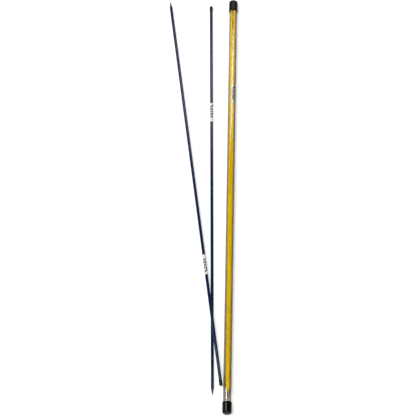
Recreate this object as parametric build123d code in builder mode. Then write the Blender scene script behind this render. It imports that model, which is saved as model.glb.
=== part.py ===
from build123d import *

import os
from math import cos, radians, sin

# A set of pointed marker sticks with their clear storage tube, lying on a flat surface.
# The tube lies along Y on its two slip-on end caps and holds two yellow sticks, points towards -Y.
# Two navy sticks lie loose beside it: the lower one on the surface, the upper one across it.
# Z is up, the surface is z = 0, and the origin is the middle of the set's footprint.

# ---- Driving dimensions, in millimetres ----

# Stick: a solid fibreglass rod in a coloured coat, ground to a point, with a cap on its blunt end.
stick_length = 1219.0
stick_radius = 4.0
coat_thickness = 0.2
point_length = 18.0
point_end_radius = 0.9
rod_end_chamfer = 0.4

# End cap of a stick: a dipped vinyl cup with a small bead around its mouth.
end_cap_length = 16.0
end_cap_radius = 4.55
end_cap_floor = 2.0
end_cap_dome_radius = 3.4
end_cap_bead_radius = 4.7
end_cap_bead_length = 1.4
end_cap_clearance = 0.02

# Label: a printed film stuck part of the way round a stick.
label_length = 60.0
label_thickness = 0.12
label_wrap = 230.0
navy_label_start = 328.5
yellow_label_start = 274.0

# Storage tube and its two slip-on caps.
tube_radius = 11.0
tube_wall = 0.8
tube_set_length = 1288.0
tube_end_gap = 0.3
tube_edge_chamfer = 0.2
tube_cap_floor = 2.0
tube_cap_end_radius = 12.45
tube_cap_mouth_radius = 12.65
tube_cap_bead_radius = 12.8
tube_cap_bead_length = 2.2
tube_cap_corner_radius = 4.2
tube_cap_clearance = 0.05
top_cap_length = 36.0
bottom_cap_length = 30.0

# ---- Layout on the surface, measured from the tube's axis (x) and its middle (y) ----

half_set = tube_set_length / 2
axis_height = tube_cap_bead_radius

# Each yellow stick runs from its capped end down to its point, x and z measured from the tube's axis.
left_yellow_top = Vector(-4.95, 635.0, -1.4)
left_yellow_foot = Vector(-0.4, -584.0, -5.4)
right_yellow_top = Vector(3.7, 630.7, 3.5)
right_yellow_foot = Vector(3.4, -588.3, 2.4)

# Each navy stick is given by its capped end and the heading of its point, x from the tube's axis.
lower_navy_x = -63.4
lower_navy_y = 630.3
lower_navy_yaw = 1.18
upper_navy_x = -16.3
upper_navy_y = -567.0
upper_navy_yaw = 7.77
crossing_gap = 0.3

# The turn of each label about its stick, in degrees from straight up.
left_yellow_label_turn = 175.0
right_yellow_label_turn = 20.0
navy_label_turn = 0.0

# The upper navy stick's point reaches furthest left and the tube caps furthest right: the set is
# centred between them.
upper_point_x = upper_navy_x - stick_length * sin(radians(upper_navy_yaw))
point_shoulder_reach = point_length * sin(radians(upper_navy_yaw))
leftmost = upper_point_x + point_shoulder_reach - stick_radius * cos(radians(upper_navy_yaw))
tube_x = -(leftmost + tube_cap_bead_radius) / 2

print("tube axis at x =", round(tube_x, 3), "z =", axis_height)


# ---- Helpers ----


def save(part, name):
    """Labels one finished piece and writes its STEP file."""
    part.label = name
    export_step(part, f"parts/{name}.step")


def axis_plane(start, heading, turn=0.0):
    """A plane for profiles of revolution: Y runs from start along heading, X points outward,
    turned by so many degrees from straight up."""
    along = heading.normalized()
    up = (Vector(0, 0, 1) - along * along.Z).normalized()
    side = along.cross(up)
    outward = up * cos(radians(turn)) + side * sin(radians(turn))
    return Plane(origin=start, x_dir=outward, z_dir=outward.cross(along))


def on_tube(point):
    """A point given from the tube's axis, moved to its place in the set."""
    return point + Vector(tube_x, 0, axis_height)


# ---- Storage tube ----


def make_tube():
    """The clear tube, open at both ends, its edges eased so that the caps slip on."""
    length = tube_set_length - 2 * (tube_cap_floor + tube_end_gap)
    start = Plane.XZ.offset(-length / 2)
    start.origin += Vector(tube_x, 0, axis_height)
    with BuildPart() as tube:
        with BuildSketch(start):
            Circle(tube_radius)
            Circle(tube_radius - tube_wall, mode=Mode.SUBTRACT)
        extrude(amount=length)
        rims = tube.edges().filter_by(GeomType.CIRCLE)
        chamfer(rims, length=tube_edge_chamfer)
    save(tube.part, "clear_tube")


def make_tube_cap(name, length, outward):
    """A slip-on cap: closed end with a rounded corner, slightly flared wall, bead at the mouth.

    outward is +1 at the tube's top end and -1 at its bottom end.
    """
    closed_end = Vector(tube_x, outward * half_set, axis_height)
    plane = axis_plane(closed_end, Vector(0, -outward, 0))
    bore = tube_radius + tube_cap_clearance
    bead_start = length - tube_cap_bead_length
    flat_radius = tube_cap_end_radius - tube_cap_corner_radius
    corner = tube_cap_corner_radius
    with BuildPart() as cap:
        with BuildSketch(plane):
            with BuildLine():
                Line((0, 0), (flat_radius, 0))
                corner_arc = RadiusArc((flat_radius, 0), (tube_cap_end_radius, corner), -corner)
                wall = Line(corner_arc @ 1, (tube_cap_mouth_radius, bead_start - 0.6))
                step = Line(wall @ 1, (tube_cap_bead_radius, bead_start))
                bead = Line(step @ 1, (tube_cap_bead_radius, length - 0.5))
                lip = Line(bead @ 1, (tube_cap_bead_radius - 0.5, length))
                mouth = Line(lip @ 1, (bore + 0.3, length))
                lead_in = Line(mouth @ 1, (bore, length - 0.6))
                bore_wall = Line(lead_in @ 1, (bore, tube_cap_floor))
                floor_line = Line(bore_wall @ 1, (0, tube_cap_floor))
                Line(floor_line @ 1, (0, 0))
            make_face()
        revolve(axis=Axis(plane.origin, plane.y_dir))
    save(cap.part, name)


# ---- Sticks ----


def make_rod(name, start, heading):
    """The coated rod: blunt end inside the cap, bare ground point at the other end."""
    plane = axis_plane(start, heading)
    shoulder = stick_length - point_length
    bare_radius = stick_radius - coat_thickness
    blunt_end = end_cap_floor + 0.05
    with BuildPart() as rod:
        with BuildSketch(plane):
            with BuildLine():
                Polyline(
                    (0, blunt_end),
                    (stick_radius - rod_end_chamfer, blunt_end),
                    (stick_radius, blunt_end + rod_end_chamfer),
                    (stick_radius, shoulder),
                    (bare_radius, shoulder + coat_thickness),
                    (point_end_radius, stick_length - 0.4),
                    (point_end_radius - 0.4, stick_length),
                    (0, stick_length),
                    close=True,
                )
            make_face()
        revolve(axis=Axis(plane.origin, plane.y_dir))
    save(rod.part, name)


def make_end_cap(name, start, heading):
    """The stick's vinyl cap: domed closed end, thin wall and a bead around the mouth."""
    plane = axis_plane(start, heading)
    bore = stick_radius + end_cap_clearance
    dome = end_cap_dome_radius
    flat_radius = end_cap_radius - dome
    bead_start = end_cap_length - end_cap_bead_length
    with BuildPart() as cap:
        with BuildSketch(plane):
            with BuildLine():
                Line((0, 0), (flat_radius, 0))
                dome_arc = RadiusArc((flat_radius, 0), (end_cap_radius, dome), -dome)
                wall = Line(dome_arc @ 1, (end_cap_radius, bead_start - 0.3))
                step = Line(wall @ 1, (end_cap_bead_radius, bead_start))
                bead = Line(step @ 1, (end_cap_bead_radius, end_cap_length - 0.2))
                lip = Line(bead @ 1, (end_cap_bead_radius - 0.2, end_cap_length))
                mouth = Line(lip @ 1, (bore, end_cap_length))
                bore_wall = Line(mouth @ 1, (bore, end_cap_floor))
                floor_line = Line(bore_wall @ 1, (0, end_cap_floor))
                Line(floor_line @ 1, (0, 0))
            make_face()
        revolve(axis=Axis(plane.origin, plane.y_dir))
    save(cap.part, name)


def make_label(name, start, heading, distance, turn):
    """The film label, lying on the rod and centred on the given turn from straight up."""
    plane = axis_plane(start, heading, turn - label_wrap / 2)
    middle = distance + label_length / 2
    with BuildPart() as label:
        with BuildSketch(plane):
            with Locations((stick_radius + label_thickness / 2, middle)):
                Rectangle(label_thickness, label_length)
        revolve(axis=Axis(plane.origin, plane.y_dir), revolution_arc=label_wrap)
    save(label.part, name)


def make_stick(name, start, heading, label_start, label_turn):
    """One whole stick from its capped end: rod, end cap and label."""
    make_rod(f"{name}_rod", start, heading)
    make_end_cap(f"{name}_end_cap", start, heading)
    make_label(f"{name}_label", start, heading, label_start, label_turn)
    unit = heading.normalized()
    tip = start + unit * stick_length
    print(name, "from", start, "to", tip, "direction", unit)


# ---- Loose sticks: how they lie ----


def level_heading(yaw, towards):
    """A level direction along Y (towards is +1 or -1), turned by yaw so that going up the set
    leads to the left."""
    return Vector(-towards * sin(radians(yaw)), towards * cos(radians(yaw)), 0)


def lower_navy_line():
    """The lower navy stick rests on the bead of its cap and on the shoulder of its point."""
    level = level_heading(lower_navy_yaw, -1)
    cap_rest = end_cap_length
    shoulder = stick_length - point_length
    fall = (end_cap_bead_radius - stick_radius) / (shoulder - cap_rest)
    start = Vector(tube_x + lower_navy_x, lower_navy_y, end_cap_bead_radius + fall * cap_rest)
    return start, level - Vector(0, 0, fall)


def upper_navy_line(lower_start, lower_heading):
    """The upper navy stick rests on the shoulder of its point and on the lower stick."""
    level = level_heading(upper_navy_yaw, 1)
    start = Vector(tube_x + upper_navy_x, upper_navy_y, 0)
    offset = lower_start - start
    turning = level.X * lower_heading.Y - level.Y * lower_heading.X
    crossing = (offset.X * lower_heading.Y - offset.Y * lower_heading.X) / turning
    lower_run = (offset.X * level.Y - offset.Y * level.X) / turning
    lower_height = lower_start.Z + lower_heading.Z * lower_run
    crossing_height = lower_height + 2 * stick_radius + crossing_gap
    shoulder = stick_length - point_length
    fall = (crossing_height - stick_radius) / (shoulder - crossing)
    start += Vector(0, 0, crossing_height + fall * crossing)
    return start, level - Vector(0, 0, fall)


os.makedirs("parts", exist_ok=True)

make_tube()
make_tube_cap("top_tube_cap", top_cap_length, 1)
make_tube_cap("bottom_tube_cap", bottom_cap_length, -1)

make_stick(
    "left_yellow",
    on_tube(left_yellow_top),
    left_yellow_foot - left_yellow_top,
    yellow_label_start,
    left_yellow_label_turn,
)
make_stick(
    "right_yellow",
    on_tube(right_yellow_top),
    right_yellow_foot - right_yellow_top,
    yellow_label_start,
    right_yellow_label_turn,
)
lower_start, lower_heading = lower_navy_line()
upper_start, upper_heading = upper_navy_line(lower_start, lower_heading)
make_stick("lower_navy", lower_start, lower_heading, navy_label_start, navy_label_turn)
make_stick("upper_navy", upper_start, upper_heading, navy_label_start, navy_label_turn)
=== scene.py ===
import math

import bpy
import numpy as np
from mathutils import Matrix, Vector


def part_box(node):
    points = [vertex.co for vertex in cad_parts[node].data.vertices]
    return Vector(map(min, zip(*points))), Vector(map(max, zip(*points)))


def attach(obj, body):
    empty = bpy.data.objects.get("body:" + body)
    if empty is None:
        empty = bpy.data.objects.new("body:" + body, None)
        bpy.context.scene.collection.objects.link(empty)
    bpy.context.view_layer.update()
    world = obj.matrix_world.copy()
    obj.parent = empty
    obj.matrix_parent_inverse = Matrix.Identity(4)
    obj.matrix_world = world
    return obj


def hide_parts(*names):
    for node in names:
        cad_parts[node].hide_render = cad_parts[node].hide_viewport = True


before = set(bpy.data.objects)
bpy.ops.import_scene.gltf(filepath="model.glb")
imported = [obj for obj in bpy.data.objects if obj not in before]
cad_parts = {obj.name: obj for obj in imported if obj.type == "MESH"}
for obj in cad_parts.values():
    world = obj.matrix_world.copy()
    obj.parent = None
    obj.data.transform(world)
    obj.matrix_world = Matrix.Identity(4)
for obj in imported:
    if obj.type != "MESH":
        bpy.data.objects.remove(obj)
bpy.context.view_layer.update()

MM = 0.001

# ---- Driving dimensions, in millimetres ----

# Stick, measured along it from its capped end
STICK_LENGTH = 1219.0
STICK_RADIUS = 4.0
COAT_THICKNESS = 0.2
POINT_LENGTH = 18.0
POINT_END_RADIUS = 0.9
ROD_START = 2.05

# Stick end cap
END_CAP_LENGTH = 16.0
END_CAP_RADIUS = 4.55
END_CAP_BORE = 4.02
END_CAP_FLOOR = 2.0
END_CAP_DOME = 3.4
END_CAP_BEAD_RADIUS = 4.7
END_CAP_BEAD_LENGTH = 1.4

# Label film
LABEL_THICKNESS = 0.12
LABEL_CORNER = 2.2

# Tube and its caps
TUBE_RADIUS = 11.0
TUBE_WALL = 0.8
TUBE_EDGE = 0.2
CAP_FLOOR = 2.0
CAP_BORE = 11.05
CAP_END_RADIUS = 12.45
CAP_MOUTH_RADIUS = 12.65
CAP_BEAD_RADIUS = 12.8
CAP_BEAD_LENGTH = 2.2
CAP_LIP_RADIUS = 0.55
# Corner radius of each cap's closed end; the photo shows the top cap's as the rounder one
CAP_CORNERS = {"top": 6.6, "bottom": 4.2}

# Sides of the turned shapes, and the angle between faces from which an edge is left sharp
TUBE_SIDES = 128
CAP_SIDES = 112
END_CAP_SIDES = 72
STICK_SIDES = 48
SHARP_ANGLE = 38

# ---- Light passing through and off the surfaces ----

COAT_IOR = 1.8
TUBE_IOR = 1.53
# Painted shade: the tube's absorbing tint darkens the floor seen through it, standing in for the
# shadow under a clear tube
SEE_THROUGH_SHADE_COLOUR = (0.577, 0.54, 0.497, 1.0)
SEE_THROUGH_SHADE_DENSITY = 1120.0
SHADOW_LIGHT_LET_THROUGH = (0.96, 0.96, 0.96, 1.0)

# ---- Stage, in metres and degrees ----

FLOOR_HALF_SIZE = 30.0
FLOOR_ALBEDO = 0.75
# The floor also glows a little to the camera alone, so that it reads as plain white
FLOOR_GLOW = 1.75
FLOOR_GLOW_SHARE = 0.32

# The camera looks down at the set from beyond the bottom cap, a little to the left
CAMERA_TARGET = (0.0248, -0.0305, 0.0)
CAMERA_DISTANCE = 5.931
CAMERA_ELEVATION = 60.784
CAMERA_AZIMUTH = -1.541
CAMERA_ROLL = 3.0
CAMERA_LENS = 188.16
SENSOR_WIDTH = 36.0

WHITE = (1.0, 1.0, 1.0)
WORLD_STRENGTH = 0.01

# Area lights: place, the point each looks at, width, depth, radiance and colour. The softbox
# lights the whole set. The other three are there for their reflections: the window's is the
# glare along the tube's upper part, the wall's is the warm sheen on the top cap, and the strip's
# is the streak at the tube's lower end.
LIGHTS = {
    "overhead_softbox": ((-3.4, -2.5, 8.2), (0.0, 0.0, 0.0), 6.0, 6.0, 8.1, WHITE),
    "far_window": ((-0.15, 1.97, 2.5), (-0.15, 0.3, 0.0), 2.3, 0.40, 7.6, (0.86, 0.97, 1.0)),
    "far_wall": ((0.0, 2.85, 2.4), (0.0, 0.4, 0.0), 7.0, 0.9, 1.7, (1.0, 0.84, 0.68)),
    "narrow_strip": ((-1.2, 0.575, 2.5), (-1.46, -0.57, 0.0), 1.5, 0.22, 15.0, WHITE),
}

STICKS = {
    "left_yellow": "yellow_coat",
    "right_yellow": "yellow_coat",
    "lower_navy": "navy_coat",
    "upper_navy": "navy_coat",
}


# ---- Materials ----


class Shader:
    """A material's node tree with its Principled shader, and short ways to add nodes to it."""

    def __init__(self, name, base, roughness, level=0.5, gloss=0.0, gloss_roughness=0.1):
        self.material = bpy.data.materials.new(name)
        self.material.use_nodes = True
        self.tree = self.material.node_tree
        self.main = self.tree.nodes["Principled BSDF"]
        self.output = self.tree.nodes["Material Output"]
        self.main.inputs["Base Color"].default_value = (*base, 1.0)
        self.main.inputs["Roughness"].default_value = roughness
        self.main.inputs["Specular IOR Level"].default_value = level
        self.main.inputs["Coat Weight"].default_value = gloss
        self.main.inputs["Coat Roughness"].default_value = gloss_roughness
        self.main.inputs["Coat IOR"].default_value = COAT_IOR
        self.place = self.tree.nodes.new("ShaderNodeTexCoord").outputs["Object"]

    def link(self, source, target):
        self.tree.links.new(source, target)

    def node(self, kind, settings=None, **inputs):
        """A new node. Each input, called by its name or by i and its number, is given a plain
        value or another node's output."""
        made = self.tree.nodes.new("ShaderNode" + kind)
        for key, value in (settings or {}).items():
            setattr(made, key, value)
        for key, value in inputs.items():
            socket = made.inputs[int(key[1:]) if key[0] == "i" and key[1:].isdigit() else key]
            if isinstance(value, bpy.types.NodeSocket):
                self.link(value, socket)
            else:
                socket.default_value = value
        return made

    def math(self, operation, first, second=0.0):
        made = self.node("Math", {"operation": operation}, i0=first, i1=second)
        return made.outputs[0]

    def stretched(self, across, along):
        """Object coordinates scaled by across, and by along on the piece's long axis, Y."""
        return self.node(
            "Mapping", Vector=self.place, Scale=(across, along, across)
        ).outputs[0]

    def noise(self, vector, detail=3.0, roughness=0.55):
        return self.node(
            "TexNoise", Vector=vector, Scale=1.0, Detail=detail, Roughness=roughness
        ).outputs["Fac"]

    def between(self, value, low, high, out_low, out_high):
        """value from low..high carried over to out_low..out_high, and held there."""
        made = self.node("MapRange", Value=value)
        for key, number in zip(
            ("From Min", "From Max", "To Min", "To Max"), (low, high, out_low, out_high)
        ):
            made.inputs[key].default_value = number
        return made.outputs[0]

    def mix(self, share, first, second):
        """A colour between two, each a plain colour or an output."""
        made = self.tree.nodes.new("ShaderNodeMix")
        made.data_type = "RGBA"
        for number, value in ((0, share), (6, first), (7, second)):
            socket = made.inputs[number]
            if isinstance(value, bpy.types.NodeSocket):
                self.link(value, socket)
            else:
                socket.default_value = (*value, 1.0) if isinstance(value, tuple) else value
        return made.outputs[2]

    def bump(self, height, depth):
        """Surface relief over any that is there: height from 0 to 1 stands for depth metres."""
        made = self.node("Bump", Height=height, Distance=depth, Strength=1.0)
        if self.main.inputs["Normal"].is_linked:
            self.link(self.main.inputs["Normal"].links[0].from_socket, made.inputs["Normal"])
        self.link(made.outputs[0], self.main.inputs["Normal"])
        self.link(made.outputs[0], self.main.inputs["Coat Normal"])

    def surface_mix(self, share, other):
        """Makes the surface a mix of the Principled shader and another one."""
        mixed = self.node("MixShader", i0=share)
        self.link(self.main.outputs[0], mixed.inputs[1])
        self.link(other.outputs[0], mixed.inputs[2])
        self.link(mixed.outputs[0], self.output.inputs["Surface"])


def coat(name, gloss, colour, deep, pale):
    """Glossy pigmented coat over pultruded fibreglass: fine lengthwise grain, light scuffs."""
    s = Shader(name, colour, 0.2, 0.08, gloss, 0.1)
    grain = s.noise(s.stretched(1400.0, 9.0), 4.0)
    cloud = s.noise(s.stretched(160.0, 7.0), 2.0)
    tone = s.mix(s.between(cloud, 0.35, 0.65, 0.0, 1.0), deep, colour)
    tone = s.mix(s.between(grain, 0.56, 0.74, 0.0, 0.5), tone, pale)
    s.link(tone, s.main.inputs["Base Color"])
    scuff = s.noise(s.stretched(420.0, 60.0), 5.0, 0.7)
    s.link(s.between(scuff, 0.5, 0.75, 0.17, 0.4), s.main.inputs["Roughness"])
    s.bump(grain, 0.000005)
    s.bump(s.noise(s.stretched(700.0, 500.0), 1.0), 0.000004)
    return s.material


def ground_point(name, colour, pale):
    """The bare point: matte, greyer than the coat, with fine rings left by grinding."""
    s = Shader(name, colour, 0.55, 0.35)
    rings = s.noise(s.stretched(60.0, 2600.0), 3.0, 0.6)
    fibres = s.noise(s.stretched(2200.0, 120.0), 3.0, 0.6)
    tone = s.mix(s.between(rings, 0.38, 0.66, 0.0, 1.0), colour, pale)
    tone = s.mix(s.between(fibres, 0.55, 0.75, 0.0, 0.45), tone, pale)
    s.link(tone, s.main.inputs["Base Color"])
    s.link(s.between(rings, 0.3, 0.7, 0.45, 0.7), s.main.inputs["Roughness"])
    s.bump(rings, 0.00003)
    return s.material


def vinyl(name, colour, gloss, dust):
    """Dipped vinyl: near black, softly uneven gloss, a little dust in its grain."""
    s = Shader(name, colour, gloss, 0.06, 0.16, gloss)
    cloud = s.noise(s.stretched(110.0, 80.0), 3.0)
    speck = s.noise(s.stretched(2600.0, 2600.0), 2.0, 0.6)
    tone = s.mix(s.between(speck, 0.62, 0.78, 0.0, 0.6), colour, dust)
    s.link(tone, s.main.inputs["Base Color"])
    s.link(s.between(cloud, 0.35, 0.65, gloss - 0.05, gloss + 0.08), s.main.inputs["Roughness"])
    s.bump(cloud, 0.00012)
    s.bump(speck, 0.000008)
    return s.material


def printed_film(name):
    """Off-white label film with a slanted bar and a row of plain blocks printed on it. The
    print is laid out in metres along the label from its start and across from its middle."""
    film, aged_film, ink = (0.72, 0.705, 0.67), (0.66, 0.63, 0.56), (0.014, 0.012, 0.010)
    bar_centre, bar_half, bar_reach, bar_slant = 0.0108, 0.0028, 0.0048, 0.9
    blocks = ((0.0203, 0.0030), (0.0282, 0.0026), (0.0364, 0.0032), (0.0449, 0.0029))
    block_reach = (0.0042, 0.0036)
    hole_share, hole_reach, hole_shift = 0.25, 0.0008, (-0.0009, 0.0011)
    soft_edge = 0.00012
    s = Shader(name, film, 0.35, 0.45)
    split = s.node("SeparateXYZ", Vector=s.place)
    angle = s.math("ARCTAN2", split.outputs[0], split.outputs[2])
    across = s.math("MULTIPLY", angle, STICK_RADIUS * MM)
    along = split.outputs[1]

    def within(value, centre, half):
        """1 where value is no further than half from centre, with a soft printed edge."""
        off = s.math("ABSOLUTE", s.math("SUBTRACT", value, centre))
        return s.between(off, half - soft_edge, half + soft_edge, 1.0, 0.0)

    def patch(lengthwise, centre, half, middle, reach):
        return s.math("MULTIPLY", within(lengthwise, centre, half), within(across, middle, reach))

    slanted = s.math("SUBTRACT", along, s.math("MULTIPLY", across, bar_slant))
    mark = patch(slanted, bar_centre, bar_half, 0.0, bar_reach)
    for number, (centre, half) in enumerate(blocks):
        block = patch(along, centre, half, 0.0, block_reach[number % 2])
        hole = patch(along, centre, half * hole_share, hole_shift[number % 2], hole_reach)
        block = s.math("MULTIPLY", block, s.math("SUBTRACT", 1.0, hole))
        mark = s.math("MAXIMUM", mark, block)
    wear = s.noise(s.stretched(900.0, 700.0), 4.0, 0.7)
    mark = s.math("MULTIPLY", mark, s.between(wear, 0.66, 0.72, 1.0, 0.35))
    patches = s.between(s.noise(s.stretched(90.0, 60.0)), 0.4, 0.7, 0.0, 0.5)
    s.link(s.mix(mark, s.mix(patches, film, aged_film), ink), s.main.inputs["Base Color"])
    s.link(s.between(wear, 0.35, 0.7, 0.28, 0.45), s.main.inputs["Roughness"])
    s.bump(wear, 0.00001)
    return s.material


def shade_tinted_clear_plastic(name):
    """The tube's clear plastic: draw lines along it, light scuffs and an absorbing tint, painted
    shade that darkens what shows through it, more so at its edges, standing in for the shaded
    floor under the tube. It lets light through to what it shades."""
    s = Shader(name, (0.97, 0.965, 0.955), 0.03)
    s.main.inputs["Transmission Weight"].default_value = 1.0
    s.main.inputs["IOR"].default_value = TUBE_IOR
    scuff = s.noise(s.stretched(260.0, 40.0), 5.0, 0.65)
    s.link(s.between(scuff, 0.58, 0.8, 0.02, 0.05), s.main.inputs["Roughness"])
    s.bump(s.noise(s.stretched(600.0, 2.0), 1.5), 0.000002)
    # Painted shade: this absorption darkens what is seen through the wall, standing in for the
    # shaded floor beneath the tube
    absorb = s.node("VolumeAbsorption", Color=SEE_THROUGH_SHADE_COLOUR, Density=SEE_THROUGH_SHADE_DENSITY)
    s.link(absorb.outputs[0], s.output.inputs["Volume"])
    through = s.node("BsdfTransparent", Color=SHADOW_LIGHT_LET_THROUGH)
    s.surface_mix(s.node("LightPath").outputs["Is Shadow Ray"], through)
    return s.material


MATERIALS = {
    "yellow_coat": coat(
        "yellow_coat", 0.1, (0.88, 0.625, 0.003), (0.83, 0.565, 0.002), (0.9, 0.68, 0.012)
    ),
    "navy_coat": coat(
        "navy_coat", 0.17, (0.0006, 0.0124, 0.042), (0.0004, 0.0102, 0.035), (0.002, 0.020, 0.058)
    ),
    "yellow_point": ground_point("yellow_point", (0.74, 0.46, 0.02), (0.82, 0.62, 0.16)),
    "navy_point": ground_point("navy_point", (0.012, 0.024, 0.045), (0.05, 0.07, 0.095)),
    "black_vinyl": vinyl("black_vinyl", (0.0030, 0.0027, 0.0019), 0.18, (0.012, 0.011, 0.009)),
    "black_rubber": vinyl("black_rubber", (0.0045, 0.0040, 0.0030), 0.24, (0.016, 0.014, 0.011)),
    "label_film": printed_film("label_film"),
    "clear_plastic": shade_tinted_clear_plastic("clear_plastic"),
}


# ---- Shapes ----


def arc(centre, radius, start, end, steps):
    """Profile points (radius from the axis, distance along it) on an arc, angles in degrees."""
    angles = np.radians(np.linspace(start, end, steps + 1))
    return [
        (centre[0] + radius * math.cos(a), centre[1] + radius * math.sin(a)) for a in angles
    ]


def turned(name, profile, sides, uneven=None, ring=False):
    """A closed solid turned about local Y from a profile in millimetres. ring closes the
    profile on itself, as for a tube; otherwise it starts and ends on the axis. uneven gives
    each ring's small departures: (angles, radius, distance) -> (radii, distances)."""
    angles = np.linspace(0, 2 * math.pi, sides, endpoint=False)
    verts, rows = [], []
    for radius, distance in profile:
        first = len(verts)
        if radius < 1e-6:
            verts.append((0.0, distance * MM, 0.0))
            rows.append([first] * sides)
            continue
        radii = np.full(sides, radius)
        places = np.full(sides, distance)
        if uneven:
            radii, places = uneven(angles, radii, places)
        for a, r, y in zip(angles, radii, places):
            verts.append((r * math.sin(a) * MM, y * MM, r * math.cos(a) * MM))
        rows.append(list(range(first, first + sides)))
    faces = []
    pairs = list(zip(rows, rows[1:] + rows[:1])) if ring else list(zip(rows, rows[1:]))
    for low, high in pairs:
        for i in range(sides):
            j = (i + 1) % sides
            face = []
            for corner in (low[i], high[i], high[j], low[j]):
                if corner not in face:
                    face.append(corner)
            if len(face) > 2:
                faces.append(face)
    return solid(name, verts, faces)


def solid(name, verts, faces):
    """A mesh object with its normals outward, smooth except at real edges."""
    mesh = bpy.data.meshes.new(name)
    mesh.from_pydata(verts, [], faces)
    mesh.validate()
    made = bpy.data.objects.new(name, mesh)
    bpy.context.collection.objects.link(made)
    volume = sum(
        mesh.vertices[f.vertices[0]].co.dot(
            mesh.vertices[f.vertices[i]].co.cross(mesh.vertices[f.vertices[i + 1]].co)
        )
        for f in mesh.polygons
        for i in range(1, len(f.vertices) - 1)
    )
    if volume < 0:
        mesh.flip_normals()
    mesh.shade_smooth()
    mesh.set_sharp_from_angle(angle=math.radians(SHARP_ANGLE))
    return made


def put(piece, place, body, slot, material, *nodes):
    """Sets a finished piece in its place with its material, parents it to its body and hides the
    CAD nodes it replaces.
    """
    piece.matrix_world = place
    piece.data.materials.append(MATERIALS[material])
    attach(piece, body)
    if nodes:
        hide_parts(*nodes)


# ---- Storage tube ----


def make_tube(place, half):
    """The tube, with faint draw lines in its wall and eased edges."""

    def draw_lines(angles, radii, places):
        ripple = 0.010 * np.sin(9 * angles + 1.0) + 0.006 * np.sin(26 * angles + 0.4)
        return radii + ripple, places

    inner = TUBE_RADIUS - TUBE_WALL
    edge = TUBE_EDGE
    # Rings close to both ends keep the smooth shading of the long wall true up to its edges
    middle = np.linspace(-600, 600, 25)
    along = np.array([-half + 1.0, -half + 3.0, *middle, half - 3.0, half - 1.0])
    profile = arc((TUBE_RADIUS - edge, -half + edge), edge, 270, 360, 4)
    profile += [(TUBE_RADIUS, y) for y in along]
    profile += arc((TUBE_RADIUS - edge, half - edge), edge, 0, 90, 4)
    profile += arc((inner + edge, half - edge), edge, 90, 180, 4)
    profile += [(inner, y) for y in along[::-1]]
    profile += arc((inner + edge, -half + edge), edge, 180, 270, 4)
    tube = turned("tube_wall", profile, TUBE_SIDES, draw_lines, ring=True)
    put(tube, place, "tube", "clear_plastic", "clear_plastic", "clear_tube")


def make_tube_cap(name, place, length, corner, body, node, phase):
    """A slip-on vinyl cap: dimpled closed end, soft corner, slight flare, rolled mouth."""
    bead = length - CAP_BEAD_LENGTH
    flat = CAP_END_RADIUS - corner

    def soft(angles, radii, places):
        share = np.clip(places / length, 0, 1)
        bulge = 0.05 * np.sin(2 * angles + phase) * share * (radii > CAP_BORE + 0.6)
        rim = 0.12 * np.sin(3 * angles + 2 * phase) * (share > 0.97)
        return radii + bulge, places + rim

    profile = [(0.0, 0.35), (0.9, 0.33), (1.5, 0.2), (2.0, 0.06), (2.8, 0.0), (flat, 0.0)]
    profile += arc((flat, corner), corner, -90, 0, 14)[1:]
    for share in (0.25, 0.5, 0.75, 1.0):
        grown = CAP_END_RADIUS + (CAP_MOUTH_RADIUS - CAP_END_RADIUS) * share
        profile.append((grown, corner + (bead - 0.7 - corner) * share))
    profile += [(CAP_MOUTH_RADIUS + 0.03, bead - 0.3), (CAP_BEAD_RADIUS - 0.03, bead + 0.1)]
    profile.append((CAP_BEAD_RADIUS, bead + 0.4))
    lip = CAP_LIP_RADIUS
    profile += arc((CAP_BEAD_RADIUS - lip, length - lip), lip, 0, 90, 5)
    profile += [(CAP_BORE + 0.35, length), (CAP_BORE + 0.1, length - 0.15)]
    profile += [(CAP_BORE, length - 0.6), (CAP_BORE, CAP_FLOOR + 0.8)]
    profile += [(CAP_BORE - 0.25, CAP_FLOOR + 0.2), (CAP_BORE - 0.8, CAP_FLOOR), (0.0, CAP_FLOOR)]
    cap = turned(name, profile, CAP_SIDES, soft)
    put(cap, place, body, "black_vinyl", "black_vinyl", node)


# ---- Sticks ----


def ring_centre(points, along, up, level):
    """The middle of those points that lie at one end of a turned CAD node."""
    side = np.cross(along, up)
    near = points[np.abs(points @ along - level) < 0.1 * MM]
    middle = along * level
    for direction in (side, up):
        reach = near @ direction
        middle = middle + direction * (reach.min() + reach.max()) / 2
    return middle


def stick_place(stick):
    """The stick's own frame from its CAD rod: origin at the capped end, Y along it, Z up."""
    points = np.array([v.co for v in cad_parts[f"{stick}_rod"].data.vertices])
    cap_low, cap_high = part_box(f"{stick}_end_cap")
    cap = np.array((cap_low + cap_high) / 2)
    along = points.mean(0) - cap
    for _ in range(2):
        along = along / np.linalg.norm(along)
        up = np.array((0.0, 0.0, 1.0)) - along * along[2]
        up = up / np.linalg.norm(up)
        level = points @ along
        start = ring_centre(points, along, up, level.min())
        end = ring_centre(points, along, up, level.max())
        along = end - start
    along = along / np.linalg.norm(along)
    up = np.array((0.0, 0.0, 1.0)) - along * along[2]
    up = up / np.linalg.norm(up)
    origin = start - along * ROD_START * MM
    place = Matrix.Identity(4)
    for column, vector in enumerate((np.cross(along, up), along, up, origin)):
        for row in range(3):
            place[row][column] = vector[row]
    return place


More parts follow.
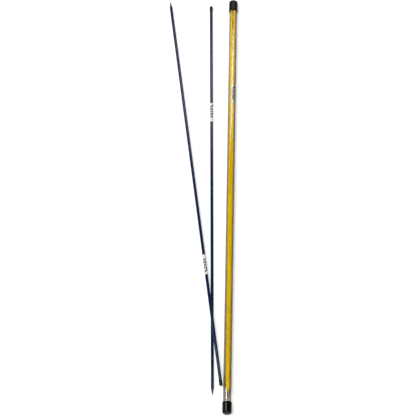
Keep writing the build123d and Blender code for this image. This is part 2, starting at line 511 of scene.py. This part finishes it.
def make_rod(stick, place, slot, phase):
    """The coated shaft and its bare ground point, two pieces that stand for the CAD rod."""
    shoulder = STICK_LENGTH - POINT_LENGTH
    bare = STICK_RADIUS - COAT_THICKNESS
    cone_end = STICK_LENGTH - 0.5

    def ground_edge(angles, radii, places):
        wave = 0.45 * np.sin(angles + phase) + 0.22 * np.sin(3 * angles + 2 * phase)
        return radii, places + wave * (places > shoulder - 1.5)

    profile = [(0.0, ROD_START), (STICK_RADIUS - 0.4, ROD_START)]
    profile += [(STICK_RADIUS - 0.1, ROD_START + 0.12), (STICK_RADIUS, ROD_START + 0.4)]
    profile += [(STICK_RADIUS, y) for y in np.linspace(20, shoulder - 3, 40)]
    profile += [(STICK_RADIUS, shoulder - 0.6), (STICK_RADIUS - 0.04, shoulder - 0.1)]
    profile += [(bare + 0.02, shoulder + 0.8), (bare - 0.25, shoulder + 1.0), (0.0, shoulder + 1.0)]
    shaft = turned(f"{stick}_shaft", profile, STICK_SIDES, ground_edge)
    put(shaft, place, f"{stick}_stick", slot, slot, f"{stick}_rod")

    def grinding(angles, radii, places):
        turn = 0.012 * np.sin(places * 5.1 + phase) + 0.010 * np.sin(places * 11.7 + angles)
        facet = 0.02 * np.sin(4 * angles + phase)
        inside = (places > shoulder + 0.9) & (places < cone_end)
        return radii + (turn + facet) * inside, places

    distances = np.linspace(shoulder + 0.2, cone_end, 58)
    slope = (bare - POINT_END_RADIUS) / (cone_end - shoulder - 0.2)
    point = [(0.0, shoulder - 0.8), (bare - 0.4, shoulder - 0.8)]
    point += [(bare - slope * (y - shoulder - 0.2), y) for y in distances]
    point += arc((POINT_END_RADIUS - 0.5, cone_end), 0.5, 12, 90, 4) + [(0.0, STICK_LENGTH)]
    tip = turned(f"{stick}_point", point, STICK_SIDES, grinding)
    put(tip, place, f"{stick}_stick", slot, slot.replace("coat", "point"))


def make_end_cap(stick, place, phase):
    """The stick's dipped vinyl cap: dome with a shallow dimple, thin wall, rolled mouth."""
    bead = END_CAP_LENGTH - END_CAP_BEAD_LENGTH
    flat = END_CAP_RADIUS - END_CAP_DOME

    def soft(angles, radii, places):
        outer = radii > END_CAP_BORE + 0.3
        swell = 0.03 * np.sin(2 * angles + phase) * outer * (places > 4)
        rim = 0.10 * np.sin(3 * angles + phase) * (places > END_CAP_LENGTH - 0.7)
        return radii + swell, places + rim

    profile = [(0.0, 0.12), (0.5, 0.09), (0.9, 0.02), (flat, 0.0)]
    profile += arc((flat, END_CAP_DOME), END_CAP_DOME, -90, 0, 12)[1:]
    profile += [(END_CAP_RADIUS, 7.0), (END_CAP_RADIUS, 11.0), (END_CAP_RADIUS, bead - 0.4)]
    profile += [(END_CAP_RADIUS + 0.03, bead - 0.15), (END_CAP_BEAD_RADIUS - 0.02, bead + 0.1)]
    profile.append((END_CAP_BEAD_RADIUS, bead + 0.35))
    profile += arc((END_CAP_BEAD_RADIUS - 0.25, END_CAP_LENGTH - 0.25), 0.25, 0, 90, 3)
    profile += [(END_CAP_BORE + 0.08, END_CAP_LENGTH), (END_CAP_BORE, END_CAP_LENGTH - 0.15)]
    profile += [(END_CAP_BORE, END_CAP_FLOOR), (0.0, END_CAP_FLOOR)]
    cap = turned(f"{stick}_cap", profile, END_CAP_SIDES, soft)
    put(cap, place, f"{stick}_stick", "black_rubber", "black_rubber", f"{stick}_end_cap")


def make_label(stick, place):
    """The label: a thin film curved round the rod, with rounded corners."""
    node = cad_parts[f"{stick}_label"]
    inverse = place.inverted()
    points = np.array([inverse @ v.co for v in node.data.vertices]) / MM
    start, end = points[:, 1].min(), points[:, 1].max()
    turn = math.atan2(points[:, 0].mean(), points[:, 2].mean())
    angles = np.arctan2(points[:, 0], points[:, 2]) - turn
    half_wrap = np.abs((angles + math.pi) % (2 * math.pi) - math.pi).max()
    length = end - start
    trim = LABEL_CORNER * (1 - np.cos(np.linspace(0, math.pi / 2, 7)))
    middle = np.linspace(LABEL_CORNER, length - LABEL_CORNER, 22)
    rows = sorted(set(trim) | set(middle) | set(length - trim))
    columns = 40
    verts = []
    for radius in (STICK_RADIUS + 0.004, STICK_RADIUS + LABEL_THICKNESS):
        for y in rows:
            into = min(y, length - y, LABEL_CORNER)
            gap = LABEL_CORNER - math.sqrt(LABEL_CORNER**2 - (LABEL_CORNER - into) ** 2)
            reach = half_wrap - gap / STICK_RADIUS
            for share in np.linspace(-1, 1, columns + 1):
                a = reach * share
                verts.append((radius * math.sin(a) * MM, y * MM, radius * math.cos(a) * MM))
    width, layer = columns + 1, (columns + 1) * len(rows)
    faces = []
    for i in range(len(rows) - 1):
        for j in range(columns):
            corner = i * width + j
            quad = (corner, corner + 1, corner + 1 + width, corner + width)
            faces.append(quad)
            faces.append(tuple(layer + k for k in reversed(quad)))
    rim = [*range(width), *(i * width + columns for i in range(1, len(rows)))]
    rim += [layer - 1 - k for k in range(1, width)]
    rim += [i * width for i in range(len(rows) - 2, 0, -1)]
    for here, there in zip(rim, rim[1:] + rim[:1]):
        faces.append((there, here, here + layer, there + layer))
    film = solid(f"{stick}_film", verts, faces)
    about = Matrix.Rotation(turn, 4, "Y") @ Matrix.Translation((0, start * MM, 0))
    put(film, place @ about, f"{stick}_stick", "label_film", "label_film", f"{stick}_label")


def facing(place, outward):
    """A turned piece's frame at a place, its Y along outward (+1 or -1) times world Y."""
    if outward > 0:
        return Matrix.Translation(place)
    return Matrix.Translation(place) @ Matrix.Rotation(math.pi, 4, "Z")


tube_low, tube_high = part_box("clear_tube")
tube_centre = (tube_low + tube_high) / 2
make_tube(Matrix.Translation(tube_centre), (tube_high.y - tube_low.y) / 2 / MM)
for end, outward, phase in (("top", 1, 0.7), ("bottom", -1, 2.3)):
    low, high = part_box(f"{end}_tube_cap")
    closed = (tube_centre.x, high.y if outward > 0 else low.y, tube_centre.z)
    span = (high.y - low.y) / MM
    shell, body, node = f"{end}_cap_shell", f"{end}_cap", f"{end}_tube_cap"
    make_tube_cap(shell, facing(closed, -outward), span, CAP_CORNERS[end], body, node, phase)

for number, (stick, slot) in enumerate(STICKS.items()):
    place = stick_place(stick)
    make_rod(stick, place, slot, 1.3 + 1.7 * number)
    make_end_cap(stick, place, 0.5 + 1.1 * number)
    make_label(stick, place)


# ---- Stage ----


def make_floor():
    half = FLOOR_HALF_SIZE
    mesh = bpy.data.meshes.new("floor")
    corners = [(-half, -half, 0), (half, -half, 0), (half, half, 0), (-half, half, 0)]
    mesh.from_pydata(corners, [], [(0, 1, 2, 3)])
    floor = bpy.data.objects.new("floor", mesh)
    bpy.context.collection.objects.link(floor)
    s = Shader("floor", (FLOOR_ALBEDO, FLOOR_ALBEDO, FLOOR_ALBEDO), 0.9, 0.1)
    seen = s.node("LightPath").outputs["Is Camera Ray"]
    glow = s.node("Emission", Color=(*WHITE, 1.0), Strength=FLOOR_GLOW)
    s.surface_mix(s.math("MULTIPLY", seen, FLOOR_GLOW_SHARE), glow)
    mesh.materials.append(s.material)


def area_light(name, place, aim, width, depth, radiance, colour):
    """A rectangular soft light of an even brightness, looking at aim."""
    light = bpy.data.lights.new(name, "AREA")
    light.shape = "RECTANGLE"
    light.size = width
    light.size_y = depth
    light.color = colour
    light.energy = radiance * math.pi * width * depth
    lamp = bpy.data.objects.new(name, light)
    lamp.location = place
    lamp.rotation_euler = (Vector(aim) - Vector(place)).to_track_quat("-Z", "Y").to_euler()
    bpy.context.collection.objects.link(lamp)


def make_lights():
    for name, settings in LIGHTS.items():
        area_light(name, *settings)
    world = bpy.data.worlds.new("world")
    bpy.context.scene.world = world
    world.use_nodes = True
    background = world.node_tree.nodes["Background"]
    background.inputs["Color"].default_value = (*WHITE, 1.0)
    background.inputs["Strength"].default_value = WORLD_STRENGTH


def make_camera():
    elevation = math.radians(CAMERA_ELEVATION)
    azimuth = math.radians(CAMERA_AZIMUTH)
    level = math.cos(elevation)
    away = Vector((math.sin(azimuth) * level, -math.cos(azimuth) * level, math.sin(elevation)))
    data = bpy.data.cameras.new("camera")
    data.lens = CAMERA_LENS
    data.sensor_width = SENSOR_WIDTH
    data.clip_end = 100.0
    camera = bpy.data.objects.new("camera", data)
    camera.location = Vector(CAMERA_TARGET) + away * CAMERA_DISTANCE
    look = (-away).to_track_quat("-Z", "Y").to_matrix().to_4x4()
    camera.rotation_euler = (look @ Matrix.Rotation(math.radians(CAMERA_ROLL), 4, "Z")).to_euler()
    bpy.context.collection.objects.link(camera)
    bpy.context.scene.camera = camera


bpy.context.scene.view_settings.view_transform = "Standard"
make_floor()
make_lights()
make_camera()
